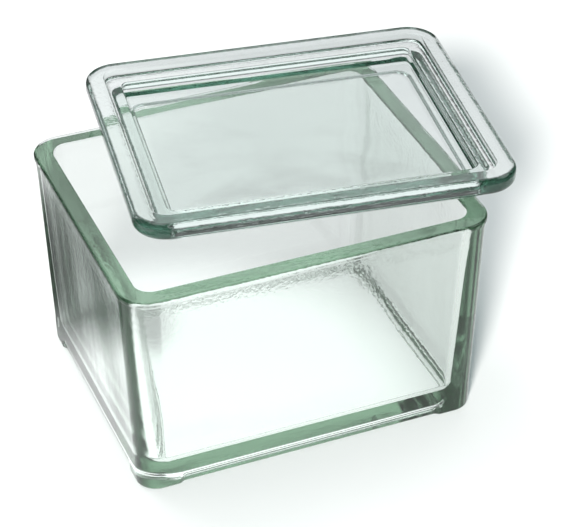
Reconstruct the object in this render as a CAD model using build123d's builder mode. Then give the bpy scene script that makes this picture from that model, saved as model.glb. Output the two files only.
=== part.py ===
"""Pressed-glass staining jar for microscope slides, with its loose glass lid.

The jar stands on the XY plane with its centre on the Z axis. The lid isn't seated:
it lies askew on the jar's rim, carried by the locating ridge under it.
"""

from build123d import *
import os

# Jar, outside
jar_length = 108.0
jar_width = 90.0
jar_height = 66.0
jar_corner_radius = 9.0
jar_draft = 2.4  # how much further in each wall's outside stands at the foot than at the rim
wall = 5.4  # at the rim
wall_bottom = 6.0  # at the cavity's floor

# Rim
lip_overhang = 0.4
lip_height = 1.8
rim_outer_radius = 0.9
rim_inner_radius = 0.6

# Cavity
floor_height = 5.6
cavity_corner_radius = 3.3
mouth_corner_radius = 4.8
floor_fillet = 3.0

# Foot: a hollow under the base, and a shallow strip set back along each side between the corners
hollow_depth = 1.3
foot_width = 6.5
hollow_corner_radius = 7.0
foot_edge_radius = 0.6
strip_height = 3.8
strip_depth = 0.8
strip_end = 11.0  # from the foot's corner to the end of the strip
strip_end_radius = 2.0

# Lid: its flange has the rim's outline, and two steps lead down from the flange to the panel
lid_corner_radius = 9.5
flange_thickness = 5.3
flange_width = 5.5
flange_edge_radius = 1.7
flange_under_radius = 2.0
flange_inner_corner_radius = 4.5
band_drop = 1.9
band_width = 4.7
panel_drop = 2.6
panel_corner_radius = 2.2
step_radius = 0.5
band_root_radius = 1.2  # where each step's face runs into the level below it
panel_root_radius = 1.6

# Locating ridge under the lid
ridge_depth = 6.4
ridge_clearance_x = 0.9  # to the jar's mouth along X when the lid is seated, at the ridge's root
ridge_clearance_y = 3.7
ridge_corner_radius = 5.0
ridge_draft = 0.6
ridge_width = 5.0  # at its foot
ridge_recess = 1.5
recess_corner_radius = 4.0
ridge_edge_radius = 1.0

# How the lid lies on the rim
lid_shift_x = 15.6
lid_shift_y = 9.0
lid_turn = -8.3

# Outlines that follow from the sizes above
body_length = jar_length - 2 * lip_overhang
body_width = jar_width - 2 * lip_overhang
body_corner_radius = jar_corner_radius - lip_overhang
foot_length = body_length - 2 * jar_draft
foot_breadth = body_width - 2 * jar_draft
foot_corner_radius = body_corner_radius - jar_draft
hollow_length = foot_length - 2 * foot_width
hollow_breadth = foot_breadth - 2 * foot_width
strip_length = foot_length - 2 * strip_end
strip_breadth = foot_breadth - 2 * strip_end
mouth_length = jar_length - 2 * wall
mouth_width = jar_width - 2 * wall
cavity_length = foot_length - 2 * wall_bottom
cavity_width = foot_breadth - 2 * wall_bottom
panel_inset = flange_width + band_width
ridge_length = mouth_length - 2 * ridge_clearance_x
ridge_breadth = mouth_width - 2 * ridge_clearance_y
recess_length = ridge_length - 2 * (ridge_draft + ridge_width)
recess_breadth = ridge_breadth - 2 * (ridge_draft + ridge_width)
flange_underside = jar_height + ridge_depth
flange_top = flange_underside + flange_thickness
band_level = flange_top - band_drop
panel_level = band_level - panel_drop
height_tolerance = 0.01  # within which an edge or a face counts as lying at a height


def edges_at(part, height):
    """Edges of a part that lie wholly at one height."""
    return part.edges().filter_by_position(Axis.Z, height - height_tolerance, height + height_tolerance)


def opening_edges(part, height):
    """Edges of the opening in a part's level face at one height."""
    level = part.faces().filter_by_position(Axis.Z, height - height_tolerance, height + height_tolerance)
    return level[0].inner_wires()[0].edges()


def foot_edges(part, height):
    """Edges round the outside of a part's level face at one height."""
    level = part.faces().filter_by_position(Axis.Z, height - height_tolerance, height + height_tolerance)
    return level[0].outer_wire().edges()


# ---------------------------------------------------------------- jar
with BuildPart() as jar:
    # drafted body
    with BuildSketch(Plane.XY):
        RectangleRounded(foot_length, foot_breadth, foot_corner_radius)
    with BuildSketch(Plane.XY.offset(jar_height)):
        RectangleRounded(body_length, body_width, body_corner_radius)
    loft()
    fillet(edges_at(jar, 0), radius=foot_edge_radius)

    # lip round the rim
    with BuildSketch(Plane.XY.offset(jar_height - lip_height)):
        RectangleRounded(jar_length, jar_width, jar_corner_radius)
    extrude(amount=lip_height)
    fillet(edges_at(jar, jar_height), radius=rim_outer_radius)

    # hollow under the base
    with BuildSketch(Plane.XY):
        RectangleRounded(hollow_length, hollow_breadth, hollow_corner_radius)
    extrude(amount=hollow_depth, mode=Mode.SUBTRACT)

    # strips set back along the foot, one a side
    for half, run, side in (
        (foot_breadth / 2, strip_length, Plane.XZ),
        (foot_length / 2, strip_breadth, Plane.YZ),
    ):
        for way in (1, -1):
            with BuildSketch(side.offset(way * (half - strip_depth))):
                with Locations((0, strip_height / 2 - strip_end_radius)):
                    RectangleRounded(run, strip_height + 2 * strip_end_radius, strip_end_radius)
            extrude(amount=way * (strip_depth + jar_draft), mode=Mode.SUBTRACT)

    # cavity
    with BuildSketch(Plane.XY.offset(floor_height)):
        RectangleRounded(cavity_length, cavity_width, cavity_corner_radius)
    with BuildSketch(Plane.XY.offset(jar_height)):
        RectangleRounded(mouth_length, mouth_width, mouth_corner_radius)
    loft(mode=Mode.SUBTRACT)
    fillet(edges_at(jar, floor_height), radius=floor_fillet)
    fillet(opening_edges(jar, jar_height), radius=rim_inner_radius)

jar.part.label = "jar"

# ---------------------------------------------------------------- lid
lid_plane = Plane(origin=(lid_shift_x, lid_shift_y, flange_underside)).rotated((0, 0, lid_turn))

with BuildPart() as lid:
    # flange
    with BuildSketch(lid_plane):
        RectangleRounded(jar_length, jar_width, lid_corner_radius)
    extrude(amount=flange_thickness)
    fillet(edges_at(lid, flange_top), radius=flange_edge_radius)
    fillet(edges_at(lid, flange_underside), radius=flange_under_radius)

    # block of the locating ridge
    with BuildSketch(lid_plane):
        RectangleRounded(ridge_length, ridge_breadth, ridge_corner_radius)
    with BuildSketch(lid_plane.offset(-ridge_depth)):
        RectangleRounded(
            ridge_length - 2 * ridge_draft,
            ridge_breadth - 2 * ridge_draft,
            ridge_corner_radius - ridge_draft,
        )
    loft()

    # shallow recess inside the ridge
    with BuildSketch(lid_plane.offset(-ridge_depth)):
        RectangleRounded(recess_length, recess_breadth, recess_corner_radius)
    extrude(amount=ridge_recess, mode=Mode.SUBTRACT)
    fillet(lid.faces().sort_by(Axis.Z)[0].edges(), radius=ridge_edge_radius)

    # two steps down to the panel
    with BuildSketch(lid_plane.offset(flange_thickness)):
        RectangleRounded(
            jar_length - 2 * flange_width,
            jar_width - 2 * flange_width,
            flange_inner_corner_radius,
        )
    extrude(amount=-band_drop, mode=Mode.SUBTRACT)
    with BuildSketch(lid_plane.offset(flange_thickness - band_drop)):
        RectangleRounded(jar_length - 2 * panel_inset, jar_width - 2 * panel_inset, panel_corner_radius)
    extrude(amount=-panel_drop, mode=Mode.SUBTRACT)
    fillet(foot_edges(lid, band_level), radius=band_root_radius)
    fillet(foot_edges(lid, panel_level), radius=panel_root_radius)
    fillet(opening_edges(lid, flange_top), radius=step_radius)
    fillet(opening_edges(lid, band_level), radius=step_radius)

lid.part.label = "lid"

# ---------------------------------------------------------------- output
os.makedirs("parts", exist_ok=True)
export_step(jar.part, "parts/jar.step")
export_step(lid.part, "parts/lid.step")
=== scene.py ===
"""Looks of a pressed-glass slide staining jar and its loose lid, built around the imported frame.

Both pieces are lofted from stacks of rounded-rectangle rings, so that every wall, step and
fillet is a smooth surface, and both are one solid body of faintly green glass.
"""

import logging
import math
from collections.abc import Callable
from dataclasses import dataclass, field, replace
from enum import Enum

import bpy
import numpy as np
from mathutils import Matrix, Vector, noise


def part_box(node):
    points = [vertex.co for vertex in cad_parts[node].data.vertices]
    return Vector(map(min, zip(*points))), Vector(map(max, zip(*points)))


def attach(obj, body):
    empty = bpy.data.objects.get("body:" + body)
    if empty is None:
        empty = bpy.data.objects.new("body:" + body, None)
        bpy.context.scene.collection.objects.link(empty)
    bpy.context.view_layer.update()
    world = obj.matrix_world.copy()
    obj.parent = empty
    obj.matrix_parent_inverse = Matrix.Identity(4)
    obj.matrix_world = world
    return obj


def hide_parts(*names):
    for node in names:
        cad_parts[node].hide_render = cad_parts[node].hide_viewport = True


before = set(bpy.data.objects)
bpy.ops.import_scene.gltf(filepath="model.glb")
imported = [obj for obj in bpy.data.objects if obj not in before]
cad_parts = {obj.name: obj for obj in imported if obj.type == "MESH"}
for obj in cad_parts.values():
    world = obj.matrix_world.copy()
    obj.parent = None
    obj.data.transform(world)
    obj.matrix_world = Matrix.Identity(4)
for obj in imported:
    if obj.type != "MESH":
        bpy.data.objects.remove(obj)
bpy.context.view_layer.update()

log = logging.getLogger("staining_jar")

MM = 0.001
LEAST_RADIUS = 0.05 * MM  # of a ring's corner
HUB = {"half_x": 1.6 * MM, "half_y": 1.2 * MM, "radius": 0.5 * MM}  # the ring in a level face's middle


# ---------------------------------------------------------------- shader graph


class Signal:
    """An output socket of a shader graph, on which Python's operators build Math nodes."""

    def __init__(self, graph: "Graph", socket: bpy.types.NodeSocket) -> None:
        """Wrap a socket.

        Args:
            graph: The graph that the socket belongs to.
            socket: The output socket.
        """
        self.graph = graph
        self.socket = socket

    def __add__(self, other: "Signal | float") -> "Signal":
        """Self plus other."""
        return self.graph.math("ADD", self, other)

    def __radd__(self, other: float) -> "Signal":
        """Other plus self."""
        return self.graph.math("ADD", other, self)

    def __sub__(self, other: "Signal | float") -> "Signal":
        """Self less other."""
        return self.graph.math("SUBTRACT", self, other)

    def __rsub__(self, other: float) -> "Signal":
        """Other less self."""
        return self.graph.math("SUBTRACT", other, self)

    def __mul__(self, other: "Signal | float") -> "Signal":
        """Self times other."""
        return self.graph.math("MULTIPLY", self, other)

    def __rmul__(self, other: float) -> "Signal":
        """Other times self."""
        return self.graph.math("MULTIPLY", other, self)


class Graph:
    """A node tree being built."""

    def __init__(self, tree: bpy.types.NodeTree) -> None:
        """Empty the tree and take it over.

        Args:
            tree: The material's or world's node tree.
        """
        self.tree = tree
        tree.nodes.clear()

    def add(self, kind: str, settings: dict | None = None, inputs: dict | None = None) -> bpy.types.Node:
        """Add a node.

        Args:
            kind: The node's type, such as "ShaderNodeMix".
            settings: Values of the node's own properties, set before its sockets.
            inputs: Values or links of its input sockets, by name or by index.

        Returns:
            The new node.
        """
        node = self.tree.nodes.new(kind)
        for name, value in (settings or {}).items():
            setattr(node, name, value)
        for key, value in (inputs or {}).items():
            target = node.inputs[key]
            if isinstance(value, Signal):
                self.tree.links.new(value.socket, target)
            elif isinstance(value, bpy.types.NodeSocket):
                self.tree.links.new(value, target)
            else:
                target.default_value = value
        return node

    def math(self, operation: str, *values: "Signal | float") -> Signal:
        """Add a Math node.

        Args:
            operation: The node's operation.
            values: What feeds its inputs, in order.

        Returns:
            Its result.
        """
        node = self.add("ShaderNodeMath", {"operation": operation}, dict(enumerate(values)))
        return Signal(self, node.outputs[0])

    def output(self, node: bpy.types.Node, name: str | int = 0) -> Signal:
        """One output of a node, as a signal."""
        return Signal(self, node.outputs[name])


# ---------------------------------------------------------------- finishes


@dataclass(frozen=True)
class GlassFinish:
    """Clear pressed glass, tinted by its depth and faintly uneven on its surface.

    Attributes:
        name: The material's name.
        refraction: Its index of refraction.
        absorb_colour: The colour that its depth takes on.
        absorb_density: How fast it does.
        tint: The colour of its surface.
        peel_size: The width of the fine dimples.
        peel_height: Their height on the smooth parts.
        pressed_height: Their height where the mould's own texture shows.
        pressed_from: The height at which that texture starts.
        pressed_to: The height from which it's full.
        ripple_size: The width of the slow ripples.
        ripple_height: Their height.
        streak: How many times longer the ripples are along the height.
        peel_roughness: The roughness where the dimples are highest.
        end_from: How far along X the ends' duller skin starts.
        end_to: From where it's full.
        end_roughness: The roughness of that skin.
    """

    name: str
    refraction: float = 1.52
    absorb_colour: tuple[float, float, float] = (0.31, 0.55, 0.37)
    absorb_density: float = 26.0
    tint: tuple[float, float, float] = (0.985, 0.995, 0.99)
    peel_size: float = 1.3 * MM
    peel_height: float = 0.012 * MM
    pressed_height: float = 0.05 * MM
    pressed_from: float = 44.0 * MM
    pressed_to: float = 62.0 * MM
    ripple_size: float = 8.0 * MM
    ripple_height: float = 0.045 * MM
    streak: float = 3.5
    peel_roughness: float = 0.02
    end_from: float = 46.0 * MM
    end_to: float = 50.0 * MM
    end_roughness: float = 0.12

    @staticmethod
    def step(graph: Graph, value: Signal, start: float, end: float) -> Signal:
        """A smooth rise from 0 to 1.

        Args:
            graph: The material's graph.
            value: What it depends on.
            start: The value up to which it's 0.
            end: The value from which it's 1.

        Returns:
            The share.
        """
        rise = graph.add(
            "ShaderNodeMapRange",
            {"interpolation_type": "SMOOTHSTEP"},
            {"Value": value, "From Min": start, "From Max": end},
        )
        return graph.output(rise, "Result")

    def build(self) -> bpy.types.Material:
        """Make the material.

        Returns:
            The material, with its volume.
        """
        material = bpy.data.materials.new(self.name)
        material.use_nodes = True
        graph = Graph(material.node_tree)
        place = graph.add("ShaderNodeTexCoord").outputs["Object"]
        stretched = graph.add(
            "ShaderNodeMapping", {}, {"Vector": place, "Scale": (1.0, 1.0, 1.0 / self.streak)}
        )
        ripples = graph.add(
            "ShaderNodeTexNoise",
            {"noise_dimensions": "3D"},
            {"Vector": stretched.outputs[0], "Scale": 1.0 / self.ripple_size, "Detail": 1.0},
        )
        peel = graph.add(
            "ShaderNodeTexNoise",
            {"noise_dimensions": "3D"},
            {"Vector": place, "Scale": 1.0 / self.peel_size, "Detail": 2.0},
        )
        split = graph.add("ShaderNodeSeparateXYZ", {}, {0: place})
        pressed = self.step(graph, graph.output(split, "Z"), self.pressed_from, self.pressed_to)
        peel_height = self.peel_height + pressed * (self.pressed_height - self.peel_height)
        dimples = graph.output(peel, "Fac")
        height = graph.output(ripples, "Fac") * self.ripple_height + dimples * peel_height
        bump = graph.add("ShaderNodeBump", {}, {"Height": height, "Strength": 1.0, "Distance": 1.0})
        along = graph.math("ABSOLUTE", graph.output(split, "X"))
        ends = self.step(graph, along, self.end_from, self.end_to)
        roughness = dimples * self.peel_roughness + ends * self.end_roughness
        shader = graph.add(
            "ShaderNodeBsdfPrincipled",
            {},
            {
                "Base Color": (*self.tint, 1.0),
                "Roughness": roughness,
                "IOR": self.refraction,
                "Transmission Weight": 1.0,
                "Normal": bump.outputs[0],
            },
        )
        volume = graph.add(
            "ShaderNodeVolumeAbsorption",
            {},
            {"Color": (*self.absorb_colour, 1.0), "Density": self.absorb_density},
        )
        graph.add(
            "ShaderNodeOutputMaterial", {}, {"Surface": shader.outputs[0], "Volume": volume.outputs[0]}
        )
        return material


# ---------------------------------------------------------------- ring lofts


class Bend(Enum):
    """How a fillet leaves the ring that it starts at."""

    LEVEL_FIRST = "level first"
    UPRIGHT_FIRST = "upright first"


@dataclass(frozen=True)
class Ring:
    """A level rounded rectangle.

    Attributes:
        half_x: Half its length.
        half_y: Half its width.
        radius: Its corner radius.
        z: Its height.
        set_back: How deep the strip along each side is set back here.
        strip_retreat: How much shorter the strip is at each end here.
    """

    half_x: float
    half_y: float
    radius: float
    z: float
    set_back: float = 0.0
    strip_retreat: float = 0.0

    def grown(self, out: float, up: float = 0.0) -> "Ring":
        """The ring with its outline moved out evenly and its height raised.

        Args:
            out: How far the outline moves out.
            up: How far the ring rises.

        Returns:
            The new ring.
        """
        return replace(
            self,
            half_x=self.half_x + out,
            half_y=self.half_y + out,
            radius=max(self.radius + out, LEAST_RADIUS),
            z=self.z + up,
        )

    def mixed(self, other: "Ring", level: float, upright: float) -> "Ring":
        """A ring between this one and another.

        Args:
            other: The ring reached at 1.
            level: The share of the way in outline.
            upright: The share of the way in height.

        Returns:
            The ring between.
        """
        def between(name: str, share: float) -> float:
            """One size of both rings, mixed."""
            return getattr(self, name) * (1.0 - share) + getattr(other, name) * share

        return Ring(
            between("half_x", level),
            between("half_y", level),
            between("radius", level),
            between("z", upright),
            between("set_back", level),
            between("strip_retreat", level),
        )


@dataclass
class Loft:
    """A closed skin over a stack of rings, from the underside's middle round to the top's middle.

    Attributes:
        corner_steps: Faces round each corner.
        side_knots: Where the vertices of a side's straight run lie, from -1 to 1.
        strip_half_x: Half the set-back strip's length on the long sides.
        strip_half_y: Half its length on the short sides.
        strip_ramp: Over what length the strip's end comes forward.
        guard: How near a bend an extra ring keeps the flat before it flat.
        rings: The stack.
    """

    corner_steps: int = 16
    side_knots: tuple[float, ...] = ()
    strip_half_x: float = 0.0
    strip_half_y: float = 0.0
    strip_ramp: float = 1.6 * MM
    guard: float = 0.12 * MM
    rings: list[Ring] = field(default_factory=list)

    def start(self, ring: Ring) -> None:
        """Put down the first ring."""
        self.rings.append(ring)

    def run_to(self, ring: Ring, steps: int) -> None:
        """Go straight to a ring.

        Args:
            ring: The ring to reach.
            steps: Faces on the way, besides one narrow one at each end.
        """
        last = self.rings[-1]
        length = max(abs(ring.half_x - last.half_x), abs(ring.z - last.z))
        shares = list(np.linspace(0.0, 1.0, steps + 1)[1:])
        if length > 4.0 * self.guard:
            near = self.guard / length
            between = [s for s in shares[:-1] if near * 2 < s < 1 - near * 2]
            shares = [near, *between, 1 - near, 1.0]
        self.rings += [last.mixed(ring, s, s) for s in shares]

    def bend_to(self, ring: Ring, bend: Bend, steps: int = 7) -> None:
        """Go to a ring round a quarter of an ellipse.

        Args:
            ring: The ring to reach.
            bend: Which way the bend leaves the last ring.
            steps: Faces round the bend.
        """
        last = self.rings[-1]
        for angle in np.linspace(0.0, math.pi / 2, steps + 1)[1:]:
            rising, falling = math.sin(angle), 1.0 - math.cos(angle)
            if bend is Bend.LEVEL_FIRST:
                self.rings.append(last.mixed(ring, rising, falling))
            else:
                self.rings.append(last.mixed(ring, falling, rising))

    def ring_points(self, ring: Ring) -> np.ndarray:
        """The vertices of one ring, anticlockwise from above, from the right side's near end.

        Args:
            ring: The ring.

        Returns:
            One row of x, y, z for each vertex.
        """
        knots = np.array(self.side_knots)
        arc = np.linspace(0.0, math.pi / 2, self.corner_steps + 1)[1:-1]
        quarters = []
        for quarter in range(4):
            long_side = quarter % 2 == 1
            half, run = (ring.half_y, ring.half_x) if long_side else (ring.half_x, ring.half_y)
            run -= ring.radius
            strip_half = (self.strip_half_x if long_side else self.strip_half_y) - ring.strip_retreat
            inside = ease((strip_half - np.abs(knots * run)) / self.strip_ramp)
            side = np.stack([half - ring.set_back * inside, knots * run], axis=1)
            round_the_corner = ring.radius * np.stack([np.cos(arc), np.sin(arc)], axis=1)
            corner = np.array([half - ring.radius, run]) + round_the_corner
            angle = quarter * math.pi / 2
            turn = np.array([[math.cos(angle), math.sin(angle)], [-math.sin(angle), math.cos(angle)]])
            quarters.append(np.concatenate([side, corner]) @ turn)
        flat = np.concatenate(quarters)
        return np.column_stack([flat, np.full(len(flat), ring.z)])

    def mesh(self, name: str) -> bpy.types.Mesh:
        """Join the rings into a closed mesh.

        Args:
            name: The mesh's name.

        Returns:
            The mesh, smooth-shaded.
        """
        stacks = [self.ring_points(ring) for ring in self.rings]
        per_ring = len(stacks[0])
        faces = []
        for level in range(len(stacks) - 1):
            low, high = level * per_ring, (level + 1) * per_ring
            for i in range(per_ring):
                j = (i + 1) % per_ring
                faces.append((low + i, low + j, high + j, high + i))
        last = (len(stacks) - 1) * per_ring
        faces.append(tuple(reversed(range(per_ring))))
        faces.append(tuple(range(last, last + per_ring)))
        mesh = bpy.data.meshes.new(name)
        mesh.from_pydata(np.concatenate(stacks).tolist(), [], faces)
        mesh.shade_smooth()
        mesh.update()
        return mesh


def ease(share: np.ndarray) -> np.ndarray:
    """A smooth step from 0 to 1 as share goes from 0 to 1."""
    t = np.clip(share, 0.0, 1.0)
    return t * t * (3.0 - 2.0 * t)


def side_knots(dense_from: float, dense_to: float) -> tuple[float, ...]:
    """Knots along a straight side, close together where a strip ends and beside the corners.

    Args:
        dense_from: Where the close knots begin, as a share of half the run.
        dense_to: Where they end.

    Returns:
        The knots, from -1 to 1.
    """
    wide = np.linspace(0.0, dense_from, 17)[1:]
    close = np.linspace(dense_from, dense_to, 13)[1:]
    half = [*wide, *close, 0.97, 0.995, 1.0]
    return tuple([-k for k in reversed(half)] + [0.0] + half)


def uneven(
    mesh: bpy.types.Mesh,
    size: tuple[float, float, float],
    depth: float,
    keep: Callable[[Vector, Vector], float],
) -> None:
    """Give a mesh the slow unevenness of a pressing, moving each vertex inwards along its normal.

    Args:
        mesh: The mesh.
        size: The width of the swells along each axis.
        depth: How far the deepest lies.
        keep: For a vertex and its normal, the share of the depth that applies there.
    """
    normals = [v.normal.copy() for v in mesh.vertices]
    for vertex, normal in zip(mesh.vertices, normals):
        at = Vector(c / s for c, s in zip(vertex.co, size))
        swell = 0.5 + 0.5 * noise.noise(at)
        vertex.co -= normal * depth * swell * keep(vertex.co, normal)
    mesh.update()


# ---------------------------------------------------------------- the two pieces


@dataclass
class Jar:
    """The jar: drafted walls, a lip, a thick floor and a hollow foot with a strip along each side.

    Attributes:
        low: The lowest corner of the CAD jar's box.
        high: Its highest corner.
        lip_under: How far below the lip the wall starts to curve out to it.
        lip_curve: How far above the lip's lower edge that curve ends.
        strip_fade: Over what height a strip's top comes forward.
        swell_size: The width of the walls' slow swells along each axis.
        swell_depth: Their depth.
    """

    low: Vector
    high: Vector
    corner_radius: float = 9.0 * MM
    draft: float = 2.4 * MM
    wall: float = 5.4 * MM
    wall_bottom: float = 6.0 * MM
    lip_overhang: float = 0.4 * MM
    lip_height: float = 1.8 * MM
    lip_under: float = 0.3 * MM
    lip_curve: float = 0.2 * MM
    rim_outer_radius: float = 0.9 * MM
    rim_inner_radius: float = 0.6 * MM
    floor_height: float = 5.6 * MM
    cavity_radius: float = 3.3 * MM
    mouth_radius: float = 4.8 * MM
    floor_fillet: float = 3.0 * MM
    hollow_depth: float = 1.3 * MM
    foot_width: float = 6.5 * MM
    hollow_radius: float = 7.0 * MM
    hollow_fillet: float = 0.6 * MM
    foot_edge: float = 0.6 * MM
    strip_height: float = 3.8 * MM
    strip_depth: float = 0.8 * MM
    strip_end: float = 11.0 * MM
    strip_end_radius: float = 2.0 * MM
    strip_fade: float = 0.8 * MM
    swell_size: tuple[float, float, float] = (16.0 * MM, 16.0 * MM, 45.0 * MM)
    swell_depth: float = 0.16 * MM

    def wavy(self, place: Vector, normal: Vector) -> float:
        """Where the pressing's unevenness applies: only on the walls, below the lip.

        Args:
            place: A vertex.
            normal: Its normal.

        Returns:
            The share of the swells' depth there.
        """
        if abs(normal.z) > 0.3 or place.z < 2.0 * self.strip_height:
            return 0.0
        return min(1.0, max(0.0, (self.high.z - 2.0 * self.lip_height - place.z) / self.lip_height))

    def outline(self, z: float) -> Ring:
        """The drafted body's outline.

        Args:
            z: The height.

        Returns:
            The ring at that height.
        """
        rise = (z - self.low.z) / (self.high.z - self.low.z)
        inset = self.lip_overhang + self.draft * (1.0 - rise)
        return Ring(self.high.x - inset, self.high.y - inset, self.corner_radius - inset, z)

    def cavity(self, z: float) -> Ring:
        """The cavity's outline, before its floor's fillet.

        Args:
            z: The height.

        Returns:
            The ring at that height.
        """
        bottom = self.outline(self.low.z)
        rise = (z - self.floor_height) / (self.high.z - self.floor_height)
        half_x = bottom.half_x - self.wall_bottom
        half_y = bottom.half_y - self.wall_bottom
        return Ring(
            half_x + (self.high.x - self.wall - half_x) * rise,
            half_y + (self.high.y - self.wall - half_y) * rise,
            self.cavity_radius + (self.mouth_radius - self.cavity_radius) * rise,
            z,
        )

    def loft(self) -> Loft:
        """Stack the jar's rings.

        Returns:
            The loft, standing on height 0.
        """
        foot = self.outline(0.0)
        made = Loft(
            side_knots=side_knots(0.82, 0.93),
            strip_half_x=foot.half_x - self.strip_end,
            strip_half_y=foot.half_y - self.strip_end,
        )
        self.underside(made, foot)
        self.outside(made)
        self.inside(made)
        return made

    def underside(self, made: Loft, foot: Ring) -> None:
        """Add the hollow and the rim that the jar stands on.

        Args:
            made: The empty loft.
            foot: The body's outline at its foot.
        """
        ceiling = replace(foot.grown(-self.foot_width), radius=self.hollow_radius, z=self.hollow_depth)
        made.start(replace(ceiling, **HUB))
        made.run_to(ceiling.grown(-self.hollow_fillet), 18)
        made.bend_to(ceiling.grown(0.0, -self.hollow_fillet), Bend.LEVEL_FIRST)
        made.run_to(replace(ceiling, z=self.foot_edge), 1)
        made.bend_to(replace(ceiling.grown(self.foot_edge), z=0.0), Bend.UPRIGHT_FIRST)
        set_back = foot.grown(-self.foot_edge)
        made.run_to(replace(set_back, set_back=self.strip_depth), 3)
        lowest = self.outline(self.foot_edge)
        made.bend_to(replace(lowest, set_back=self.strip_depth), Bend.LEVEL_FIRST)

    def outside(self, made: Loft) -> None:
        """Add the strips, the drafted wall and the lip.

        Args:
            made: The loft so far.
        """
        strip_top = self.strip_height
        radius = self.strip_end_radius
        for z in np.linspace(self.foot_edge, strip_top, 9)[1:]:
            above = max(z - (strip_top - radius), 0.0)
            retreat = radius - math.sqrt(max(radius * radius - above * above, 0.0))
            fade = 1.0 - float(ease(np.array((z - strip_top + self.strip_fade) / self.strip_fade)))
            made.rings.append(
                replace(self.outline(float(z)), set_back=self.strip_depth * fade, strip_retreat=retreat)
            )
        under_lip = self.high.z - self.lip_height
        made.run_to(self.outline(under_lip - self.lip_under), 30)
        lip = Ring(self.high.x, self.high.y, self.corner_radius, under_lip + self.lip_curve)
        made.bend_to(lip, Bend.UPRIGHT_FIRST, 4)
        made.run_to(replace(lip, z=self.high.z - self.rim_outer_radius), 2)
        made.bend_to(replace(lip.grown(-self.rim_outer_radius), z=self.high.z), Bend.UPRIGHT_FIRST)

    def inside(self, made: Loft) -> None:
        """Add the rim's flat, the cavity's walls and its floor.

        Args:
            made: The loft so far.
        """
        mouth = self.cavity(self.high.z)
        made.run_to(mouth.grown(self.rim_inner_radius), 3)
        made.bend_to(self.cavity(self.high.z - self.rim_inner_radius), Bend.LEVEL_FIRST, 5)
        made.run_to(self.cavity(self.floor_height + self.floor_fillet), 28)
        floor = self.cavity(self.floor_height)
        made.bend_to(floor.grown(-self.floor_fillet), Bend.UPRIGHT_FIRST, 10)
        made.run_to(replace(floor, **HUB), 20)

    def build(self, material: bpy.types.Material) -> bpy.types.Object:
        """Make the jar and put it in the CAD jar's place.

        Args:
            material: Its glass.

        Returns:
            The object.
        """
        mesh = self.loft().mesh("jar_glass")
        uneven(mesh, self.swell_size, self.swell_depth, self.wavy)
        mesh.materials.append(material)
        piece = bpy.data.objects.new("jar_glass", mesh)
        bpy.context.scene.collection.objects.link(piece)
        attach(piece, "root")
        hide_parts("jar")
        return piece


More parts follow.
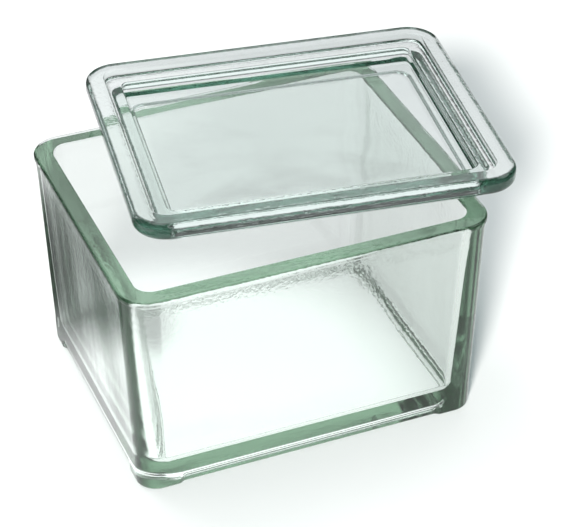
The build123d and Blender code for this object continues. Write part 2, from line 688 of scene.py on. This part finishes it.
@dataclass
class Lid:
    """The lid: a flange, two steps down to a panel, and a locating ridge below.

    Attributes:
        low: The lowest corner of the CAD lid's box.
        high: Its highest corner.
        half_x: Half the lid's own length.
        half_y: Half its own width.
        turn: How far it's turned on the rim.
        band_root: The run and the rise of the curve at the first riser's foot.
        panel_root: The same at the second riser's foot.
        ridge_inset: How far in from the short sides the ridge stands.
        ridge_inset_long: How far in from the long sides.
        recess_fillet: The radius where the recess's wall meets the panel's underside.
        bulge: How far the panel's underside bulges down in the middle.
        air: The gap between the ridge and the rim that it lies on.
        swell_size: The width of the underside's slow swells along each axis.
        swell_depth: Their depth.
        swell_margin: Over what length they fade out towards the recess's wall.
    """

    low: Vector
    high: Vector
    half_x: float
    half_y: float
    turn: float = math.radians(-8.3)
    corner_radius: float = 9.5 * MM
    flange: float = 5.3 * MM
    flange_width: float = 5.5 * MM
    flange_edge: float = 1.7 * MM
    flange_under: float = 2.0 * MM
    flange_inner_radius: float = 4.5 * MM
    band_drop: float = 1.9 * MM
    band_width: float = 4.7 * MM
    panel_drop: float = 2.6 * MM
    panel_radius: float = 2.2 * MM
    step_edge: float = 0.5 * MM
    band_root: tuple[float, float] = (2.2 * MM, 1.3 * MM)
    panel_root: tuple[float, float] = (1.6 * MM, 1.6 * MM)
    ridge_inset: float = 6.3 * MM
    ridge_inset_long: float = 9.1 * MM
    ridge_radius: float = 5.0 * MM
    ridge_draft: float = 0.6 * MM
    ridge_width: float = 5.0 * MM
    ridge_recess: float = 1.5 * MM
    recess_radius: float = 4.0 * MM
    recess_fillet: float = 0.6 * MM
    ridge_edge: float = 1.0 * MM
    ridge_root: float = 0.8 * MM
    bulge: float = 0.9 * MM
    air: float = 0.05 * MM
    swell_size: tuple[float, float, float] = (11.0 * MM, 11.0 * MM, 30.0 * MM)
    swell_depth: float = 0.3 * MM
    swell_margin: float = 4.0 * MM

    def wavy(self, place: Vector, normal: Vector) -> float:
        """Where the pressing's unevenness applies: only on the panel's underside.

        Args:
            place: A vertex.
            normal: Its normal.

        Returns:
            The share of the swells' depth there.
        """
        edge = self.ridge_inset_long + self.ridge_draft + self.ridge_width
        inside = min(self.half_x - edge - abs(place.x), self.half_y - edge - abs(place.y))
        return min(1.0, max(0.0, inside / self.swell_margin)) if normal.z < -0.9 else 0.0

    def loft(self) -> Loft:
        """Stack the lid's rings.

        Returns:
            The loft, with the underside of its flange at height 0.
        """
        made = Loft(side_knots=side_knots(0.82, 0.93), corner_steps=14)
        flange = Ring(self.half_x, self.half_y, self.corner_radius, 0.0)
        self.underside(made, flange)
        self.rim(made, flange)
        self.steps(made, flange)
        return made

    def underside(self, made: Loft, flange: Ring) -> None:
        """Add the panel's bulged underside, the recess's wall and the ridge.

        Args:
            made: The empty loft.
            flange: The flange's outline at its underside.
        """
        ridge_depth = self.high.z - self.low.z - self.flange - self.air
        ridge = replace(
            flange,
            half_x=self.half_x - self.ridge_inset,
            half_y=self.half_y - self.ridge_inset_long,
            radius=self.ridge_radius,
        )
        tip = ridge.grown(-self.ridge_draft, -ridge_depth)
        recess = replace(tip.grown(-self.ridge_width, self.ridge_recess), radius=self.recess_radius)
        middle = replace(recess, **HUB, z=recess.z - self.bulge)
        made.start(middle)
        for share in np.linspace(0.0, 1.0, 22)[1:]:
            ring = middle.mixed(recess.grown(-self.recess_fillet), float(share), 0.0)
            made.rings.append(replace(ring, z=recess.z - self.bulge * (1.0 - float(share) ** 2)))
        made.bend_to(recess.grown(0.0, -self.recess_fillet), Bend.LEVEL_FIRST, 4)
        made.bend_to(replace(recess.grown(self.ridge_edge), z=tip.z), Bend.UPRIGHT_FIRST, 4)
        made.run_to(tip.grown(-self.ridge_edge), 3)
        draft = self.ridge_draft / ridge_depth
        made.bend_to(tip.grown(draft * self.ridge_edge, self.ridge_edge), Bend.LEVEL_FIRST, 6)
        made.run_to(ridge.grown(-draft * self.ridge_root, -self.ridge_root), 4)
        made.bend_to(ridge.grown(self.ridge_root), Bend.UPRIGHT_FIRST, 5)

    def rim(self, made: Loft, flange: Ring) -> None:
        """Add the flange's underside and its rounded edge.

        Args:
            made: The loft so far.
            flange: The flange's outline at its underside.
        """
        made.run_to(flange.grown(-self.flange_under), 3)
        made.bend_to(flange.grown(0.0, self.flange_under), Bend.LEVEL_FIRST, 8)
        made.run_to(flange.grown(0.0, self.flange - self.flange_edge), 3)
        made.bend_to(flange.grown(-self.flange_edge, self.flange), Bend.UPRIGHT_FIRST)

    def steps(self, made: Loft, flange: Ring) -> None:
        """Add the flange's top, the two steps and the panel.

        Args:
            made: The loft so far.
            flange: The flange's outline at its underside.
        """
        top = flange.grown(-self.flange_width, self.flange)
        self.step(made, replace(top, radius=self.flange_inner_radius), self.band_drop, self.band_root)
        band = flange.grown(-self.flange_width - self.band_width, self.flange - self.band_drop)
        self.step(made, replace(band, radius=self.panel_radius), self.panel_drop, self.panel_root)
        made.run_to(replace(band, **HUB, z=band.z - self.panel_drop), 22)

    def step(self, made: Loft, edge: Ring, drop: float, root: tuple[float, float]) -> None:
        """Go in to an edge and down its riser.

        Args:
            made: The loft so far.
            edge: The riser's outline at its top.
            drop: The riser's height.
            root: The run and the rise of the curve at its foot.
        """
        run, rise = root
        made.run_to(edge.grown(self.step_edge), 3)
        made.bend_to(edge.grown(0.0, -self.step_edge), Bend.LEVEL_FIRST, 5)
        made.run_to(edge.grown(0.0, rise - drop), 2)
        made.bend_to(edge.grown(-run, -drop), Bend.UPRIGHT_FIRST, 8)

    def build(self, material: bpy.types.Material) -> bpy.types.Object:
        """Make the lid and lay it where the CAD lid lies.

        Args:
            material: Its glass.

        Returns:
            The object.
        """
        mesh = self.loft().mesh("lid_glass")
        uneven(mesh, self.swell_size, self.swell_depth, self.wavy)
        centre = (self.low + self.high) / 2.0
        centre.z = self.high.z - self.flange
        mesh.transform(Matrix.Translation(centre) @ Matrix.Rotation(self.turn, 4, "Z"))
        mesh.materials.append(material)
        piece = bpy.data.objects.new("lid_glass", mesh)
        bpy.context.scene.collection.objects.link(piece)
        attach(piece, "root")
        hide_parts("lid")
        return piece


# ---------------------------------------------------------------- the studio


@dataclass(frozen=True)
class Lamp:
    """A round patch of light far away.

    Attributes:
        azimuth: Its direction in degrees, from +X towards +Y.
        elevation: Its height in degrees.
        spread: Its half-angle in degrees, at half its strength.
        edge: Over how many degrees it fades.
        strength: Its radiance.
    """

    azimuth: float
    elevation: float
    spread: float
    edge: float
    strength: float

    def signal(self, graph: Graph, direction: bpy.types.NodeSocket) -> Signal:
        """The lamp's radiance in each direction.

        Args:
            graph: The world's graph.
            direction: The direction looked in.

        Returns:
            The radiance.
        """
        turn, rise = math.radians(self.azimuth), math.radians(self.elevation)
        axis = (math.cos(turn) * math.cos(rise), math.sin(turn) * math.cos(rise), math.sin(rise))
        along = graph.add("ShaderNodeVectorMath", {"operation": "DOT_PRODUCT"}, {0: direction, 1: axis})
        limits = [math.cos(math.radians(self.spread + side * self.edge / 2)) for side in (1, -1)]
        shape = graph.add(
            "ShaderNodeMapRange",
            {"interpolation_type": "SMOOTHSTEP"},
            {"Value": along.outputs["Value"], "From Min": limits[0], "From Max": limits[1]},
        )
        return graph.output(shape, "Result") * self.strength


@dataclass(frozen=True)
class PaintedShadePatch:
    """A round patch of painted shade on the floor beside the glass, seen only by way of the glass, which
    gives the glass's edges their dark outline.

    Attributes:
        x: Its middle's place along X.
        y: Its middle's place along Y.
        inner: The radius within which it's darkest.
        outer: The radius at which it ends.
        share: How much of the floor's brightness it leaves.
    """

    x: float
    y: float
    inner: float
    outer: float
    share: float


@dataclass(frozen=True)
class Softbox:
    """A wide lamp far away that lights the floor and throws soft shadows, unseen in the glass.

    Attributes:
        azimuth: Its direction in degrees, from +X towards +Y.
        elevation: Its height in degrees.
        spread: Its width in degrees.
        strength: How much light it sends, in watts per square metre.
        colour: Its colour.
    """

    azimuth: float
    elevation: float
    spread: float
    strength: float
    colour: tuple[float, float, float]

    def build(self, name: str) -> None:
        """Hang the lamp.

        Args:
            name: The lamp's name.
        """
        data = bpy.data.lights.new(name, "SUN")
        data.angle = math.radians(self.spread)
        data.energy = self.strength
        data.color = self.colour
        lamp = bpy.data.objects.new(name, data)
        lamp.rotation_euler = (0.0, math.radians(90.0 - self.elevation), math.radians(self.azimuth))
        lamp.visible_glossy = False
        lamp.visible_transmission = False
        bpy.context.scene.collection.objects.link(lamp)


@dataclass
class Studio:
    """A pale floor, soft light from above and the camera.

    Attributes:
        floor_half: Half the floor's width.
        floor_colour: The floor's colour.
        floor_roughness: Its roughness.
        floor_gap: How far below the jar's foot it lies.
        bounce: The tint of what the glass gathers.
        shaded_copy_share: How bright the floor's colour is when seen by way of the glass, against seen
            directly: a darker copy of the floor, painted shade.
        azimuth: How far round from the front the camera stands.
        elevation: How far it looks down.
        roll: How far it's tilted about its own line of sight.
        distance: How far from its aim it stands.
        aim: What it looks at.
        aside: How far the aim lies to the right of the picture's middle and above it.
        lens: Its focal length in millimetres.
        clip: The nearest and the farthest that it shows.
        floor_glow: What the floor seen by way of the glass sends by itself: a painted glow, fading with
            distance from the middle.
        under_glow: A pool of light painted on the floor under the jar, seen only by way of the glass.
        under_middle: The middle of that pool.
        under_from: The radius at which it starts to fade.
        under_to: The radius at which it ends.
        near: The distance from the middle up to which the floor seen by way of the glass keeps its full
            painted light.
        far: The distance from which it keeps the least.
        far_share: How much that is.
        painted_shade_patches: The patches of painted shade on the floor, seen only by way of the glass.
        seen_glow: What the floor seen directly adds to the light on it.
        room: The light from every side.
        lamps: The patches of light in the sky.
        key: The lamp that throws the shadow.
        top: The lamp that softens it.
        light_bounces: How many times light may pass through a surface or be mirrored.
    """

    floor_half: float = 3.0
    floor_colour: tuple[float, float, float] = (0.78, 0.78, 0.78)
    floor_roughness: float = 0.9
    floor_gap: float = 0.05 * MM
    bounce: tuple[float, float, float] = (0.99, 1.0, 1.02)
    # Painted shade: the floor seen by way of the glass takes a darker copy of its colour.
    shaded_copy_share: float = 0.28
    azimuth: float = math.radians(22.09)
    elevation: float = math.radians(34.94)
    roll: float = math.radians(-0.31)
    distance: float = 0.64244
    aim: tuple[float, float, float] = (0.0, 0.0, 0.035)
    aside: tuple[float, float] = (-0.00745, -0.00186)
    lens: float = 140.88
    clip: tuple[float, float] = (0.05, 50.0)
    # Painted light on the floor seen by way of the glass: a glow fading from the middle and a pool of
    # light under the jar.
    floor_glow: float = 0.66
    under_glow: float = 0.55
    under_middle: tuple[float, float] = (-28.0 * MM, -12.0 * MM)
    under_from: float = 52.0 * MM
    under_to: float = 90.0 * MM
    near: float = 0.14
    far: float = 0.4
    far_share: float = 0.03
    # Patches of painted shade on the floor, seen only by way of the glass, that darken the glass's edges.
    painted_shade_patches: tuple[PaintedShadePatch, ...] = (
        PaintedShadePatch(-98.0 * MM, 70.0 * MM, 42.0 * MM, 66.0 * MM, 0.1),
        PaintedShadePatch(-35.0 * MM, 34.0 * MM, 8.0 * MM, 24.0 * MM, 0.45),
    )
    seen_glow: tuple[float, float, float] = (0.0, 0.05, 0.05)
    room: float = 0.08
    lamps: tuple[Lamp, ...] = (
        Lamp(68.0, 55.0, 29.0, 24.0, 1.1),
        Lamp(150.0, 75.0, 16.0, 8.0, 2.0),
        Lamp(-15.0, 46.0, 15.0, 10.0, 1.5),
    )
    key: Softbox = Softbox(235.0, 30.0, 10.0, 5.2, (1.0, 0.98, 0.95))
    top: Softbox = Softbox(105.0, 57.0, 30.0, 0.6, (1.0, 0.98, 0.95))
    light_bounces: int = 48

    def camera(self) -> None:
        """Place the camera."""
        forward = Vector(
            (
                math.sin(self.azimuth) * math.cos(self.elevation),
                math.cos(self.azimuth) * math.cos(self.elevation),
                -math.sin(self.elevation),
            )
        )
        level_right = Vector((math.cos(self.azimuth), -math.sin(self.azimuth), 0.0))
        level_up = level_right.cross(forward)
        right = math.cos(self.roll) * level_right + math.sin(self.roll) * level_up
        up = -math.sin(self.roll) * level_right + math.cos(self.roll) * level_up
        data = bpy.data.cameras.new("camera")
        data.lens = self.lens
        data.clip_start, data.clip_end = self.clip
        camera = bpy.data.objects.new("camera", data)
        bpy.context.scene.collection.objects.link(camera)
        turn = Matrix((right, up, -forward)).transposed().to_4x4()
        place = Vector(self.aim) - forward * self.distance - right * self.aside[0] - up * self.aside[1]
        camera.matrix_world = Matrix.Translation(place) @ turn
        bpy.context.scene.camera = camera

    @staticmethod
    def fade(graph: Graph, away: bpy.types.NodeSocket, start: float, end: float) -> Signal:
        """A smooth fall from 1 to 0 with distance.

        Args:
            graph: The floor's graph.
            away: The distance from the middle of the floor.
            start: Where the fall begins.
            end: Where it ends.

        Returns:
            The share left.
        """
        fall = graph.add(
            "ShaderNodeMapRange",
            {"interpolation_type": "SMOOTHSTEP"},
            {"Value": away, "From Min": start, "From Max": end, "To Min": 1.0, "To Max": 0.0},
        )
        return graph.output(fall, "Result")

    @staticmethod
    def scaled(graph: Graph, colour: tuple[float, float, float], share: Signal) -> bpy.types.NodeSocket:
        """A colour times a signal.

        Args:
            graph: The floor's graph.
            colour: The colour.
            share: What it's multiplied by.

        Returns:
            The product's socket.
        """
        made = graph.add("ShaderNodeVectorMath", {"operation": "SCALE"}, {0: colour, "Scale": share})
        return made.outputs[0]

    @staticmethod
    def either(
        graph: Graph, seen: Signal, direct: tuple[float, float, float], through: bpy.types.NodeSocket
    ) -> bpy.types.NodeSocket:
        """One colour for the floor seen directly, and another for the floor seen by way of the glass.

        Args:
            graph: The floor's graph.
            seen: 1 on the rays that come from the viewer directly.
            direct: The first colour.
            through: The second colour.

        Returns:
            The mixed colour's socket.
        """
        made = graph.add(
            "ShaderNodeMix", {"data_type": "RGBA"}, {"Factor": seen, 6: through, 7: (*direct, 1.0)}
        )
        return made.outputs[2]

    def unshaded_share(self, graph: Graph, place: bpy.types.NodeSocket) -> Signal | float:
        """How much of the floor's light the patches of painted shade leave.

        Args:
            graph: The floor's graph.
            place: The place on the floor.

        Returns:
            The share left.
        """
        left: Signal | float = 1.0
        for shade_patch in self.painted_shade_patches:
            off = graph.add(
                "ShaderNodeVectorMath", {"operation": "DISTANCE"}, {0: place, 1: (shade_patch.x, shade_patch.y, 0.0)}
            )
            covered = self.fade(graph, off.outputs["Value"], shade_patch.inner, shade_patch.outer)
            left = left * (1.0 - covered * (1.0 - shade_patch.share))
        return left

    def floor_material(self) -> bpy.types.Material:
        """The floor's material. Seen directly it is plain; seen by way of the glass it carries painted
        light and shade: a darker copy of its colour, a painted glow fading from the middle, a painted
        pool of light under the jar and patches of painted shade.

        Returns:
            The material.
        """
        material = bpy.data.materials.new("floor")
        material.use_nodes = True
        graph = Graph(material.node_tree)
        place = graph.add("ShaderNodeTexCoord").outputs["Object"]
        away = graph.add("ShaderNodeVectorMath", {"operation": "LENGTH"}, {0: place}).outputs["Value"]
        # Painted pool of light on the floor under the jar, seen only by way of the glass.
        from_middle = graph.add(
            "ShaderNodeVectorMath", {"operation": "DISTANCE"}, {0: place, 1: (*self.under_middle, 0.0)}
        ).outputs["Value"]
        under = self.fade(graph, from_middle, self.under_from, self.under_to)
        seen = graph.output(graph.add("ShaderNodeLightPath"), "Is Camera Ray")
        # Painted shade: the patches darken the floor seen by way of the glass.
        left = self.unshaded_share(graph, place)
        # Painted light: seen by way of the glass, the floor is brighter near the middle and fades with
        # distance, and the patches of painted shade darken it.
        spread = self.far_share + self.fade(graph, away, self.near, self.far) * (1.0 - self.far_share)
        painted_light = spread * left
        glow = painted_light * self.floor_glow + under * left * self.under_glow
        # Painted shade: seen by way of the glass, the floor takes a darker copy of its colour, scaled by
        # the painted light.
        tints = zip(self.floor_colour, self.bounce)
        tinted = tuple(part * tint * self.shaded_copy_share for part, tint in tints)
        colour = self.either(graph, seen, self.floor_colour, self.scaled(graph, tinted, painted_light))
        glow_colour = self.either(graph, seen, self.seen_glow, self.scaled(graph, self.bounce, glow))
        shader = graph.add(
            "ShaderNodeBsdfPrincipled",
            {},
            {
                "Base Color": colour,
                "Roughness": self.floor_roughness,
                "Specular IOR Level": 0.0,
                "Emission Color": glow_colour,
                "Emission Strength": 1.0,
            },
        )
        graph.add("ShaderNodeOutputMaterial", {}, {"Surface": shader.outputs[0]})
        return material

    def floor(self) -> None:
        """Lay the floor."""
        half = self.floor_half
        mesh = bpy.data.meshes.new("floor")
        sides = ((-1, -1), (1, -1), (1, 1), (-1, 1))
        corners = [(x * half, y * half, -self.floor_gap) for x, y in sides]
        mesh.from_pydata(corners, [], [(0, 1, 2, 3)])
        mesh.materials.append(self.floor_material())
        floor = bpy.data.objects.new("floor", mesh)
        bpy.context.scene.collection.objects.link(floor)

    def lights(self) -> None:
        """Light the set."""
        self.key.build("key")
        self.top.build("top")
        world = bpy.data.worlds.new("studio")
        bpy.context.scene.world = world
        world.use_nodes = True
        graph = Graph(world.node_tree)
        direction = graph.add("ShaderNodeTexCoord").outputs["Generated"]
        strength: Signal | float = self.room
        for lamp in self.lamps:
            strength = strength + lamp.signal(graph, direction)
        back = graph.add("ShaderNodeBackground", {}, {"Color": (*self.bounce, 1.0), "Strength": strength})
        graph.add("ShaderNodeOutputWorld", {}, {"Surface": back.outputs[0]})

    def build(self) -> None:
        """Set everything up."""
        self.camera()
        self.floor()
        self.lights()
        scene = bpy.context.scene
        scene.view_settings.view_transform = "Standard"
        scene.cycles.max_bounces = self.light_bounces
        scene.cycles.transmission_bounces = self.light_bounces
        scene.cycles.glossy_bounces = self.light_bounces
        scene.cycles.use_denoising = True


def main() -> None:
    """Build the studio and both pieces."""
    logging.basicConfig(level=logging.INFO, format="%(name)s: %(message)s")
    Studio().build()
    jar_glass = GlassFinish("pressed_glass_jar")
    jar_low, jar_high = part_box("jar")
    jar = Jar(jar_low, jar_high).build(jar_glass.build())
    log.info("%s: %d faces", jar.name, len(jar.data.polygons))
    lid_glass = GlassFinish(
        "pressed_glass_lid",
        absorb_colour=(0.24, 0.56, 0.44),
        pressed_from=74.0 * MM,
        pressed_to=75.5 * MM,
        pressed_height=0.1 * MM,
        ripple_height=0.08 * MM,
        streak=1.0,
        end_roughness=0.0,
    )
    lid_low, lid_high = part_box("lid")
    lid = Lid(lid_low, lid_high, half_x=jar_high.x, half_y=jar_high.y).build(lid_glass.build())
    log.info("%s: %d faces", lid.name, len(lid.data.polygons))


if __name__ == "__main__":
    main()
